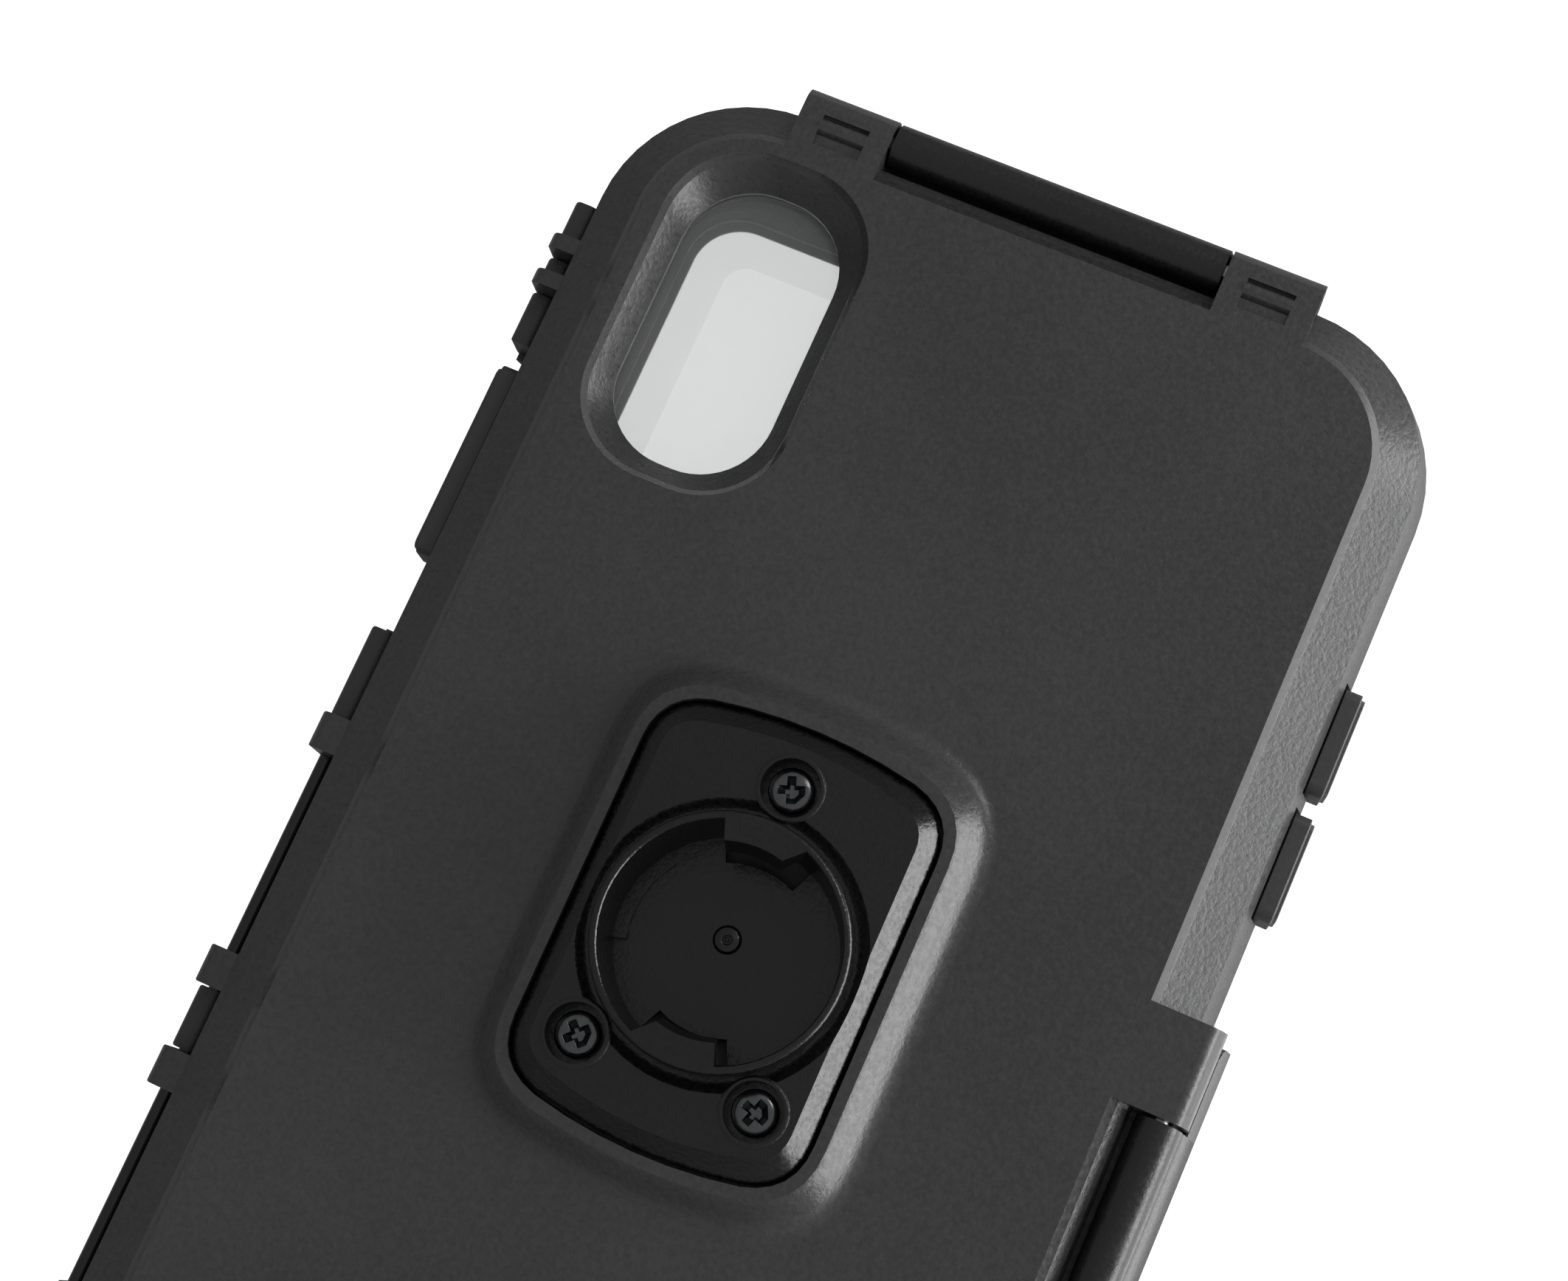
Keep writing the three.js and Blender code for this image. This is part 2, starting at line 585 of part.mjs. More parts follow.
// The upstanding ring of the socket, rounded over at the top
function socketRing() {
  const shape = new THREE.Shape();
  shape.moveTo(0, PLATE_BOTTOM + 0.5);
  shape.lineTo(RING_OUTER, PLATE_BOTTOM + 0.5);
  shape.lineTo(RING_OUTER, RING_TOP - LIP_ROUND);
  shape.absarc(RING_OUTER - LIP_ROUND, RING_TOP - LIP_ROUND, LIP_ROUND, 0, Math.PI / 2, false);
  shape.lineTo(0, RING_TOP);
  return solid(new THREE.LatheGeometry(shape.extractPoints(3).shape, RING_FACETS).rotateX(Math.PI / 2));
}

function mountPlate() {
  const outline = plateOutline(-PLATE_GAP);
  let plate = loft([
    { shape: outline, z: PLATE_BOTTOM },
    { shape: outline, z: PLATE_TOP - 1.6 },
    { shape: plateOutline(-PLATE_GAP - PLATE_CHAMFER), z: PLATE_TOP },
  ]);
  plate = plate.subtract(moatCut()).add(socketRing());
  plate = plate.subtract(socketCut());
  plate = plate.add(bayonetLug(90)).add(bayonetLug(270));
  plate = plate.add(lockRamp(0)).add(lockRamp(180)).add(pip());
  plate = plate.subtract(lugSlot(90)).subtract(lugSlot(270));
  for (const [x, y] of SCREWS) {
    plate = plate.add(screwCollar(x, y));
    plate = plate.subtract(disc(x, y, POST.outer + GAP, PLATE_BOTTOM - THROUGH, POST.top + GAP));
    plate = plate.subtract(disc(x, y, SCREW.shank + GAP, POST.top, SEAT_Z + THROUGH));
    plate = plate.subtract(disc(x, y, COUNTERBORE, SEAT_Z, PLATE_TOP + THROUGH, 30));
  }
  return part("mount_plate", plate, platePlastic);
}

function mountGasket() {
  const low = PLATE_POCKET_Z + GAP;
  let sheet = prism(plateOutline(-1.2), low, low + GASKET_THICK);
  sheet = sheet.subtract(disc(0, 0, 7.4, low - THROUGH, low + THROUGH + GASKET_THICK));
  for (const [x, y] of SCREWS) {
    sheet = sheet.subtract(disc(x, y, POST.outer + GAP, low - THROUGH, low + THROUGH + GASKET_THICK));
  }
  return part("mount_gasket", sheet, rubber);
}

// A four-armed cross round x, y, turned by an angle in radians
function crossShape(arm, width, [x, y], turn) {
  const [a, w] = [arm / 2, width / 2];
  const middle = new THREE.Vector2(x, y);
  const points = [0, 1, 2, 3].flatMap((quarter) => [[a, -w], [a, w], [w, w]].map(([u, v]) => {
    const point = new THREE.Vector2(x + u, y + v).rotateAround(middle, turn + quarter * Math.PI / 2);
    return [point.x, point.y];
  }));
  return polygon(points);
}

function mountScrew(centre, index) {
  const { head, headHeight, headTop, shank, tip } = SCREW;
  const { width, arm, depth, taper } = SCREW_CROSS;
  const seat = headTop - headHeight;
  const profile = [
    [0, tip], [shank - 0.3, tip], [shank, tip + 0.4], [shank, seat], [head, seat], [head, headTop - 0.6],
    [head - 0.12, headTop - 0.34], [head - 0.45, headTop - 0.14], [head - 1, headTop - 0.03], [0, headTop],
  ].map(([r, z]) => new THREE.Vector2(r, z));
  const screw = solid(new THREE.LatheGeometry(profile, 24).rotateX(Math.PI / 2).translate(...centre, 0));
  const turn = 0.35 + 0.45 * index;
  const recess = loft([
    { shape: crossShape(taper * arm, taper * width, centre, turn), z: headTop - depth },
    { shape: crossShape(arm, width, centre, turn), z: headTop + 0.05 },
  ]);
  return part(`mount_screw_${index + 1}`, screw.subtract(recess), steel);
}

function screwInsert([x, y], index) {
  const low = PLATE_POCKET_Z + GAP;
  const sleeve = disc(x, y, INSERT.outer, low, INSERT.top);
  const bore = disc(x, y, INSERT.inner, low - THROUGH, INSERT.top + THROUGH);
  return part(`screw_insert_${index + 1}`, sleeve.subtract(bore), brass);
}

// ---- Cushion inside the shell ----
function backCushion() {
  const low = 10.4;
  const high = CAVITY_TOP - GAP;
  let pad = prism(roundedBox({ x: 33.5, y: 68.5, r: 8 }), low, high);
  pad = pad.subtract(prism(roundedBox(WINDOW, WINDOW_BOSS_WALL + 0.5), low - THROUGH, high + THROUGH));
  pad = pad.subtract(prism(plateOutline(2.0 + 0.5), PLATE_BOSS_Z - GAP, high + THROUGH));
  return part("back_cushion", pad, foam);
}

// ---- Latches ----
function latchBody(name, frame) {
  const tube = bar(circle(TUBE_RADIUS), -TUBE_HALF, TUBE_HALF, frame, 14);
  const web = [[0.6, -1.9], [1.6, 0.6], [2.4, -0.6], [2.86, -2.0], [3.7, -5.2], [1.9, -5.7], [1.6, -2.3]];
  const wall = [
    [2.4, -2.3], [2.55, -2.0], [2.78, -2.0], [3.7, -5.2], [3.7, -10.9], [3.2, -11.4],
    [1.85, -11.4], [1.85, -5.6], [2.95, -4.6],
  ];
  const faceOn = frame.clone().multiply(new THREE.Matrix4().makeBasis(
    new THREE.Vector3(0, 1, 0), new THREE.Vector3(0, 0, 1), new THREE.Vector3(1, 0, 0),
  ));
  const [low, high] = [-11.4, -2.0];
  const outline = { x: (high - low) / 2, y: PLATE_HALF, r: PLATE_CORNER, cx: (high + low) / 2 };
  const plate = bar(polygon(wall), -PLATE_HALF, PLATE_HALF, frame)
    .intersect(bar(roundedBox(outline, 0.001), 0, 6, faceOn, 4));
  const hookProfile = [[3.0, -11.4], [3.0, -8.8], [0.1, -9.6], [-0.3, -10.2], [0.4, -11.4]];
  const hook = bar(polygon(hookProfile), -HOOK_HALF, HOOK_HALF, frame);
  const bore = bar(circle(LATCH_PIN + PIN_CLEARANCE), -TUBE_HALF - THROUGH, TUBE_HALF + THROUGH, frame);
  const body = tube.add(bar(polygon(web), -TUBE_HALF, TUBE_HALF, frame)).add(plate).add(hook).subtract(bore);
  return part(name, body, latchPlastic);
}

function latchPin(name, frame) {
  const reach = EAR_END - EAR_HOLLOW.depth + 0.6;
  return part(name, bar(circle(LATCH_PIN), -reach, reach, frame), steel);
}

// ---- Front frame ----
function knuckleShape() {
  const shape = new THREE.Shape();
  const { outer, top, round } = KNUCKLE_SHOULDER;
  const right = HINGE_X + KNUCKLE_RADIUS;
  shape.moveTo(outer, top - round);
  shape.lineTo(outer, 7.0);
  shape.lineTo(-43.3, 4.4);
  shape.lineTo(-41.9, 3.8);
  shape.lineTo(-41.9, FRAME_TOP);
  shape.lineTo(right, FRAME_TOP);
  shape.lineTo(right, HINGE_Z);
  shape.absarc(HINGE_X, HINGE_Z, KNUCKLE_RADIUS, 0, Math.PI / 2, false);
  shape.absarc(outer + round, top - round, round, Math.PI / 2, Math.PI, false);
  return shape;
}

// The foot of a knuckle runs on below the neighbouring tabs
function footShape() {
  const { outer, top } = KNUCKLE_FOOT;
  const shape = new THREE.Shape();
  shape.moveTo(outer, top);
  shape.lineTo(outer + 0.3, 5.4);
  shape.lineTo(-43.2, 4.5);
  shape.lineTo(-41.95, 3.9);
  shape.lineTo(-41.95, top);
  return shape;
}

function frameBlank() {
  const outside = loft([
    { shape: roundedBox(PARTING, -1.8), z: 0 },
    { shape: roundedBox(PARTING, -0.8), z: 1.2 },
    { shape: roundedBox(PARTING), z: FRAME_TOP },
  ]);
  return outside.subtract(prism(roundedBox(POCKET), BEZEL_Z, FRAME_TOP + THROUGH));
}

function displayCut() {
  const opening = prism(roundedBox(DISPLAY), -THROUGH, MEMBRANE_LEDGE_Z + THROUGH);
  return opening.add(prism(roundedBox(DISPLAY, MEMBRANE.lap + GAP), MEMBRANE_LEDGE_Z, BEZEL_Z + THROUGH));
}

// The recess behind a pad and the bore for its stem
function padSeat({ side, y, half }) {
  const [near, far] = [side * PAD_RECESS_X, side * (PAD.outer + THROUGH)].sort((a, b) => a - b);
  const recess = box([near, y - half - GAP, PAD.bottom - GAP], [far, y + half + GAP, FRAME_TOP + THROUGH]);
  return recess.add(stemBox(side, y, STEM_BORE, POCKET.x - THROUGH, PARTING.x));
}

function stemBox(side, y, grow, from, to) {
  const [near, far] = [side * from, side * to].sort((a, b) => a - b);
  const [halfY, halfZ] = [STEM.halfY + grow, STEM.halfZ + grow];
  return box([near, y - halfY, STEM.z - halfZ], [far, y + halfY, STEM.z + halfZ]);
}

// A wider chamber round the stem that holds its seal ring
function stemChamber({ side, y }) {
  const { wall, thick, x } = SEAL_RING;
  return stemBox(side, y, STEM_BORE + wall, x - GAP, x + thick + GAP);
}

function acrossEnd(shape, low, high) {
  return bar(shape, low, high, alongY, 2);
}

function portCut() {
  const middle = (PORT.low + PORT.high) / 2;
  const opening = roundedBox({ x: PORT.x, y: (PORT.high - PORT.low) / 2, r: PORT.r, cy: middle });
  return acrossEnd(opening, 70, 82);
}

function doorLugs() {
  const { y, z, radius, bore } = DOOR_PIVOT;
  const outline = new THREE.Shape();
  outline.moveTo(y - radius, z);
  outline.lineTo(y - radius, z - 2.2);
  outline.lineTo(-78.0, 3.6);
  outline.lineTo(-78.0, FRAME_TOP);
  outline.lineTo(y + radius, FRAME_TOP);
  outline.lineTo(y + radius, z);
  outline.absarc(y, z, radius, 0, Math.PI, false);
  const lugs = [-1, 1].map((side) => {
    const ends = DOOR_LUG.map((value) => side * value).sort((a, b) => a - b);
    return runAlongX(outline, ...ends).subtract(runAlongX(circle(bore, y, z), ends[0] - 1, ends[1] + 1));
  });
  return union(lugs);
}

const alongX = new THREE.Matrix4().makeBasis(
  new THREE.Vector3(0, 1, 0), new THREE.Vector3(0, 0, 1), new THREE.Vector3(1, 0, 0),
);

function runAlongX(shape, low, high) {
  return bar(shape, low, high, alongX);
}

function ventSlot(x) {
  const { half, z, halfZ } = VENT;
  return acrossEnd(roundedBox({ x: half, y: halfZ, r: halfZ - 0.05, cx: x, cy: z }), 72, 82);
}

function frontFrame() {
  let frame = frameBlank().subtract(displayCut());
  frame = frame.add(roundedRing(POCKET, TONGUE.outer, TONGUE.inner, FRAME_TOP - 0.2, TONGUE.top));
  const knuckles = KNUCKLES.map((ends) => hingeBarrel(knuckleShape(), ends, KNUCKLE_SHOULDER.outer));
  const feet = KNUCKLES.map(([low, high]) => {
    return runAlongY(footShape(), low - KNUCKLE_FOOT.beyond, high + KNUCKLE_FOOT.beyond);
  });
  frame = frame.subtract(hingeRoom(TABS, TAB_RADIUS)).add(union([...knuckles, ...feet]));
  frame = frame.subtract(hingeBore());
  const { outer, inner, bottom } = SEAL_GROOVE;
  frame = frame.subtract(roundedRing(POCKET, outer, inner, bottom, FRAME_TOP + THROUGH));
  for (const station of [topLatchFrame, sideLatchFrame]) {
    frame = frame.subtract(bar(hookGrooveShape(), -HOOK_HALF - 0.4, HOOK_HALF + 0.4, station));
  }
  for (const button of Object.values(BUTTONS)) {
    frame = frame.subtract(padSeat(button)).subtract(stemChamber(button));
  }
  frame = frame.subtract(portCut()).add(doorLugs());
  frame = frame.subtract(ventSlot(VENT.x)).subtract(ventSlot(-VENT.x));
  return part("front_frame", frame, framePlastic);
}

function mainSeal() {
  const ring = roundedRing(
    POCKET, SEAL_GROOVE.outer - GAP, SEAL_GROOVE.inner + GAP, SEAL_GROOVE.bottom + GAP, FRAME_TOP,
  );
  return part("main_seal", ring, rubber);
}

function innerLiner() {
  const high = 7.7;
  let liner = roundedRing(POCKET, POCKET.x - GAP, POCKET.x - 1.1, BEZEL_Z + GAP, high);
  for (const { side, y } of Object.values(BUTTONS)) {
    liner = liner.subtract(stemBox(side, y, STEM_BORE, 34, 39));
  }
  liner = liner.subtract(portCut()).subtract(box([-23, -75, 3.4], [23, -70, 6.6]));
  return part("inner_liner", liner, rubber);
}

function screenMembrane() {
  const sheet = prism(roundedBox(DISPLAY, MEMBRANE.lap), MEMBRANE.bottom, MEMBRANE.top);
  return part("screen_membrane", sheet, clearPlastic);
}

function membraneBezel() {
  const low = MEMBRANE.top + GAP;
  const ring = roundedRing(DISPLAY, DISPLAY.x + MEMBRANE.lap, DISPLAY.x + 0.5, low, BEZEL_Z);
  return part("membrane_bezel", ring, framePlastic);
}

function ventMesh(name, x) {
  const { half, z, halfZ, mesh } = VENT;
  const sheet = roundedBox({ x: half - GAP, y: halfZ - GAP, r: halfZ - GAP - 0.05, cx: x, cy: z });
  return part(name, acrossEnd(sheet, 75.5, 75.5 + mesh), steel);
}

// ---- Hinge pins ----
function hingePin(name, [low, high]) {
  return part(name, runAlongY(circle(HINGE_PIN, HINGE_X, HINGE_Z), low, high), steel);
}

// ---- Buttons ----
function buttonPad(name, { side, y, half }) {
  const [rise, middle] = [(PAD.top - PAD.bottom) / 2, (PAD.top + PAD.bottom) / 2];
  const outline = roundedBox({ x: half, y: rise, r: PAD.r, cy: middle });
  const acrossSide = new THREE.Matrix4().makeBasis(
    new THREE.Vector3(0, side, 0), new THREE.Vector3(0, 0, 1), new THREE.Vector3(side, 0, 0),
  ).setPosition(0, y, 0);
  const edge = 0.4;
  const cap = bar(outline, PAD.inner, PAD.outer - edge, acrossSide, 2);
  const face = bar(roundedBox({
    x: half - edge, y: (PAD.top - PAD.bottom) / 2 - edge, r: PAD.r - edge / 2, cy: (PAD.top + PAD.bottom) / 2,
  }), PAD.outer - edge - 0.1, PAD.outer, acrossSide, 2);
  const stem = stemBox(side, y, 0, STEM.inner, PAD.inner + 0.2);
  return part(name, cap.add(face).add(stem), rubber);
}

function buttonSeal(name, { side, y }) {
  const { wall, thick, x } = SEAL_RING;
  const outside = stemBox(side, y, STEM_BORE + wall - GAP, x, x + thick);
  return part(name, outside.subtract(stemBox(side, y, 0.12, x - THROUGH, x + thick + THROUGH)), rubber);
}

// ---- Charging port door ----
function portDoor() {
  const { y, z, radius, bore } = DOOR_PIVOT;
  const middle = (DOOR.low + z) / 2;
  const leaf = roundedBox({ x: DOOR.x, y: (z - DOOR.low) / 2, r: 1.6, cy: middle });
  let door = acrossEnd(leaf, -DOOR.inner, -DOOR.outer);
  door = door.add(runAlongX(circle(radius, y, z), -DOOR.x, DOOR.x));
  door = door.subtract(runAlongX(circle(bore, y, z), -DOOR.x - THROUGH, DOOR.x + THROUGH));
  const plug = acrossEnd(roundedBox(PLUG), -PLUG.reach, -DOOR.inner + 0.1);
  return part("port_door", door.add(plug), latchPlastic);
}

function portDoorSeal() {
  const [low, high] = [-DOOR_SEAL.inner, -DOOR_SEAL.outer];
  const ring = acrossEnd(roundedBox(DOOR_SEAL), low, high);
  const hole = acrossEnd(roundedBox(PLUG, 0.15), low - THROUGH, high + THROUGH);
  return part("port_door_seal", ring.subtract(hole), rubber);
}

function portDoorPin() {
  const { y, z, pin } = DOOR_PIVOT;
  const reach = DOOR_LUG[1] - 0.3;
  return part("port_door_pin", runAlongX(circle(pin, y, z), -reach, reach), steel);
}

// ---- Assembly ----
const group = new THREE.Group();
group.add(backShell(), cameraLens(), lensRetainer(), backCushion());
group.add(mountPlate(), mountGasket(), ...SCREWS.map(mountScrew), ...SCREWS.map(screwInsert));
group.add(latchBody("top_latch", topLatchFrame), latchPin("top_latch_pin", topLatchFrame));
group.add(latchBody("side_latch", sideLatchFrame), latchPin("side_latch_pin", sideLatchFrame));
group.add(frontFrame(), mainSeal(), innerLiner(), screenMembrane(), membraneBezel());
group.add(ventMesh("speaker_mesh", VENT.x), ventMesh("microphone_mesh", -VENT.x));
for (const [name, range] of Object.entries(HINGE_PINS)) {
  group.add(hingePin(name, range));
}
for (const [name, button] of Object.entries(BUTTONS)) {
  group.add(buttonPad(name, button), buttonSeal(name.replace("button", "seal"), button));
}
group.add(portDoor(), portDoorSeal(), portDoorPin());

export default group;
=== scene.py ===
"""Looks of the hinged weather-proof phone case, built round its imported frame."""

import json
import math

import bmesh
import bpy
from mathutils import Euler, Matrix, Vector
from mathutils import noise as mathnoise

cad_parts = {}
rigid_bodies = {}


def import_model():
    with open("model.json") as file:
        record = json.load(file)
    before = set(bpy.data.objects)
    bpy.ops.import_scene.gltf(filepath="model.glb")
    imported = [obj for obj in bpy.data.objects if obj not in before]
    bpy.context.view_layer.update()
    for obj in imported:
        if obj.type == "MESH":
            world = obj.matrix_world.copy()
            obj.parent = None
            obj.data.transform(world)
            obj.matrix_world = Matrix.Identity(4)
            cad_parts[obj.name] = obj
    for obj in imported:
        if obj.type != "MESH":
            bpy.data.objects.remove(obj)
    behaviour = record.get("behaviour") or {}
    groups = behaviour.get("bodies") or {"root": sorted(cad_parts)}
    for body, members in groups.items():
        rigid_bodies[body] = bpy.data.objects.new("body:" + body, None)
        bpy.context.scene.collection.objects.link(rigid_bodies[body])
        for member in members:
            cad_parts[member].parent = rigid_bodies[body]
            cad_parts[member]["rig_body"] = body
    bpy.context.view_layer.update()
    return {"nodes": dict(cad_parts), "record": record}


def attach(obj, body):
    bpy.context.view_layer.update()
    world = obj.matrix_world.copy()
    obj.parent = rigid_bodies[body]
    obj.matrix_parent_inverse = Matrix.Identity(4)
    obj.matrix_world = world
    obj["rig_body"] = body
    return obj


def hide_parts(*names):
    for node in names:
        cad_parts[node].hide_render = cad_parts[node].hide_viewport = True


MM = 0.001
SLOW_SHARE = 0.4  # share of the slow change of tone in the mottle of a plastic
SHOULDER_STEP = (0.0159, 0.0165, 0.0003)  # low, high and depth of the step round the back face, in metres
LIGHT_PLASTIC_IOR = 1.12
FROSTED_GLOSS = 0.4
# Tint of the membrane's edge band, darker than the clear part: painted shadow along the display opening's
# edge.
BORDER_SHADE_TINT = 0.8
CLEAN_ANGLE = math.radians(0.6)
SHARP_ANGLE = math.radians(50)
EDGE_ANGLE = math.radians(24)
EDGE_SEGMENTS = 2
WELD = 2e-6
FOAM_VOXEL = 0.75
FOAM_WAVE = 0.06

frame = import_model()

# ---- Node material helpers ----


def new_material(name):
    material = bpy.data.materials.new(name)
    material.use_nodes = True
    nodes = material.node_tree.nodes
    return material, nodes, material.node_tree.links, nodes["Principled BSDF"]


def object_coordinates(nodes):
    return nodes.new("ShaderNodeTexCoord").outputs["Object"]


def noise(nodes, links, scale, detail=3.0, roughness=0.55, stretch=(1, 1, 1)):
    mapping = nodes.new("ShaderNodeMapping")
    mapping.inputs["Scale"].default_value = stretch
    links.new(object_coordinates(nodes), mapping.inputs["Vector"])
    node = nodes.new("ShaderNodeTexNoise")
    node.inputs["Scale"].default_value = scale
    node.inputs["Detail"].default_value = detail
    node.inputs["Roughness"].default_value = roughness
    links.new(mapping.outputs["Vector"], node.inputs["Vector"])
    return node.outputs["Fac"]


def ramp(nodes, links, fac, stops):
    node = nodes.new("ShaderNodeValToRGB")
    elements = node.color_ramp.elements
    elements[0].position, elements[0].color = stops[0][0], grey(stops[0][1])
    elements[1].position, elements[1].color = stops[1][0], grey(stops[1][1])
    links.new(fac, node.inputs["Fac"])
    return node.outputs["Color"]


def grey(value):
    if isinstance(value, (tuple, list)):
        return (*value, 1.0)
    return (value, value, value, 1.0)


def bump(nodes, links, height, distance, normal=None):
    node = nodes.new("ShaderNodeBump")
    node.inputs["Distance"].default_value = distance
    links.new(height, node.inputs["Height"])
    if normal is not None:
        links.new(normal, node.inputs["Normal"])
    return node.outputs["Normal"]


def scaled(nodes, links, value, factor):
    node = nodes.new("ShaderNodeMath")
    node.operation = "MULTIPLY"
    node.inputs[1].default_value = factor
    links.new(value, node.inputs[0])
    return node.outputs[0]


def level_band(nodes, links, low, high):
    """0 below the height low, 1 above the height high."""
    split = nodes.new("ShaderNodeSeparateXYZ")
    links.new(object_coordinates(nodes), split.inputs["Vector"])
    band = nodes.new("ShaderNodeMapRange")
    band.inputs["From Min"].default_value = low
    band.inputs["From Max"].default_value = high
    links.new(split.outputs["Z"], band.inputs["Value"])
    return band.outputs["Result"]


def moulded(name, tone, tint, rough, grain_scale, grain_depth, wave_depth=0.0, step=None):
    """Moulded plastic: a fine eroded grain, a slow change of tone and a slightly uneven gloss.

    If step is given as low, high, depth, slopes between those two heights look steeper.
    """
    material, nodes, links, shader = new_material(name)
    fine = noise(nodes, links, grain_scale, 2, 0.6)
    mottle = nodes.new("ShaderNodeMath")
    mottle.operation = "MULTIPLY_ADD"
    mottle.inputs[1].default_value = SLOW_SHARE
    links.new(noise(nodes, links, 45, 2), mottle.inputs[0])
    links.new(scaled(nodes, links, fine, 1 - SLOW_SHARE), mottle.inputs[2])
    dark = tuple(tone[0] * c for c in tint)
    light = tuple(tone[1] * c for c in tint)
    colour = ramp(nodes, links, mottle.outputs[0], ((0.35, dark), (0.65, light)))
    links.new(colour, shader.inputs["Base Color"])
    gloss = ramp(nodes, links, fine, ((0.3, rough[0]), (0.7, rough[1])))
    links.new(gloss, shader.inputs["Roughness"])
    normal = bump(nodes, links, fine, grain_depth)
    if wave_depth:
        normal = bump(nodes, links, noise(nodes, links, 120, 1), wave_depth, normal)
    if step:
        low, high, depth = step
        normal = bump(nodes, links, level_band(nodes, links, low, high), depth, normal)
    links.new(normal, shader.inputs["Normal"])
    return material


# Each plastic: range of tone, tint, range of roughness, grains per metre, grain depth in metres
NEUTRAL = (1.0, 1.01, 1.03)
shell_plastic = moulded(
    "shell_plastic", (0.031, 0.047), NEUTRAL, (0.26, 0.38), 1900, 0.00004, step=SHOULDER_STEP,
)
frame_plastic = moulded("frame_plastic", (0.028, 0.034), NEUTRAL, (0.36, 0.46), 2400, 0.00004)
latch_plastic = moulded("latch_plastic", (0.004, 0.009), NEUTRAL, (0.26, 0.38), 2200, 0.00004, 0.00001)
plate_plastic = moulded("plate_plastic", (0.0008, 0.0035), NEUTRAL, (0.2, 0.34), 2200, 0.00004, 0.00002)
rubber = moulded("seal_rubber", (0.02, 0.028), NEUTRAL, (0.62, 0.78), 1800, 0.00002)
button_rubber = moulded("button_rubber", (0.034, 0.044), NEUTRAL, (0.42, 0.54), 2200, 0.00002)


def foam_material():
    material, nodes, links, shader = new_material("cushion_foam")
    cells = nodes.new("ShaderNodeTexVoronoi")
    cells.inputs["Scale"].default_value = 1400
    links.new(object_coordinates(nodes), cells.inputs["Vector"])
    colour = ramp(nodes, links, cells.outputs["Distance"], ((0.0, 0.018), (0.8, 0.045)))
    links.new(colour, shader.inputs["Base Color"])
    shader.inputs["Roughness"].default_value = 0.92
    normal = bump(nodes, links, cells.outputs["Distance"], 0.00006)
    normal = bump(nodes, links, noise(nodes, links, 90, 3), 0.0003, normal)
    links.new(normal, shader.inputs["Normal"])
    return material


def metal_material(name, tone, rough, stretch):
    material, nodes, links, shader = new_material(name)
    shader.inputs["Metallic"].default_value = 1.0
    scratches = noise(nodes, links, 900, 3, 0.6, stretch)
    dark = tuple(0.8 * c for c in tone)
    links.new(ramp(nodes, links, scratches, ((0.3, dark), (0.7, tone))), shader.inputs["Base Color"])
    gloss = ramp(nodes, links, scratches, ((0.3, rough[0]), (0.7, rough[1])))
    links.new(gloss, shader.inputs["Roughness"])
    links.new(bump(nodes, links, scratches, 0.000008), shader.inputs["Normal"])
    return material


foam = foam_material()
pin_steel = metal_material("pin_steel", (0.45, 0.46, 0.48), (0.22, 0.36), (1, 0.08, 1))
screw_steel = metal_material("screw_steel", (0.13, 0.134, 0.138), (0.16, 0.3), (1, 1, 1))
rod_black = moulded("rod_black", (0.004, 0.007), NEUTRAL, (0.08, 0.14), 900, 0.000004)
insert_brass = metal_material("insert_brass", (0.6, 0.42, 0.16), (0.25, 0.4), (1, 1, 1))
mesh_steel = metal_material("mesh_steel", (0.2, 0.2, 0.21), (0.35, 0.5), (1, 1, 1))


# ---- Clear parts ----


def vector_math(nodes, links, operation, first, second=None):
    node = nodes.new("ShaderNodeVectorMath")
    node.operation = operation
    links.new(first, node.inputs[0])
    if second is not None:
        node.inputs[1].default_value = second
    return node.outputs["Value" if operation == "LENGTH" else "Vector"]


def border_mask(nodes, links, half, radius, band):
    """A mask that is 1 within band of the edge of a rounded rectangle and 0 further inside.

    half holds the half sizes of the rectangle and radius its corner radius, all in millimetres.
    """
    centre = tuple((size - radius) * MM for size in half)
    folded = vector_math(nodes, links, "ABSOLUTE", object_coordinates(nodes))
    beyond = vector_math(nodes, links, "SUBTRACT", folded, (*centre, 1.0))
    clipped = vector_math(nodes, links, "MAXIMUM", beyond, (0, 0, 0))
    edge = nodes.new("ShaderNodeMath")
    edge.operation = "GREATER_THAN"
    edge.inputs[1].default_value = (radius - band) * MM
    links.new(vector_math(nodes, links, "LENGTH", clipped), edge.inputs[0])
    return edge.outputs[0]


def blended(nodes, links, mask, inside, outside):
    mix = nodes.new("ShaderNodeMix")
    mix.data_type = "RGBA"
    links.new(mask, mix.inputs["Factor"])
    if isinstance(inside, tuple):
        mix.inputs["A"].default_value = inside
    else:
        links.new(inside, mix.inputs["A"])
    mix.inputs["B"].default_value = outside
    return mix.outputs["Result"]


def clear_material(name, rough, tint, haze=0.0, frost_and_shade=None):
    """Clear plastic with faint smudges and a little haze.

    If the frosted band is given as half sizes, corner radius and band, it gets a matt band round its
    edge. Its tint is darker there, a painted shadow along the opening's edge.
    """
    material, nodes, links, shader = new_material(name)
    smudge = noise(nodes, links, 60, 4)
    gloss = ramp(nodes, links, smudge, ((0.3, rough[0]), (0.75, rough[1])))
    shader.inputs["Base Color"].default_value = grey(tint)
    if frost_and_shade:
        mask = border_mask(nodes, links, *frost_and_shade)
        gloss = blended(nodes, links, mask, gloss, grey(FROSTED_GLOSS))
        # Painted shadow: the edge band gets the darker tint, standing in for the soft shadow along the
        # opening's edge.
        colour = blended(nodes, links, mask, grey(tint), grey(BORDER_SHADE_TINT))
        links.new(colour, shader.inputs["Base Color"])
    links.new(gloss, shader.inputs["Roughness"])
    shader.inputs["Transmission Weight"].default_value = 1.0 - haze
    shader.inputs["IOR"].default_value = LIGHT_PLASTIC_IOR
    return material


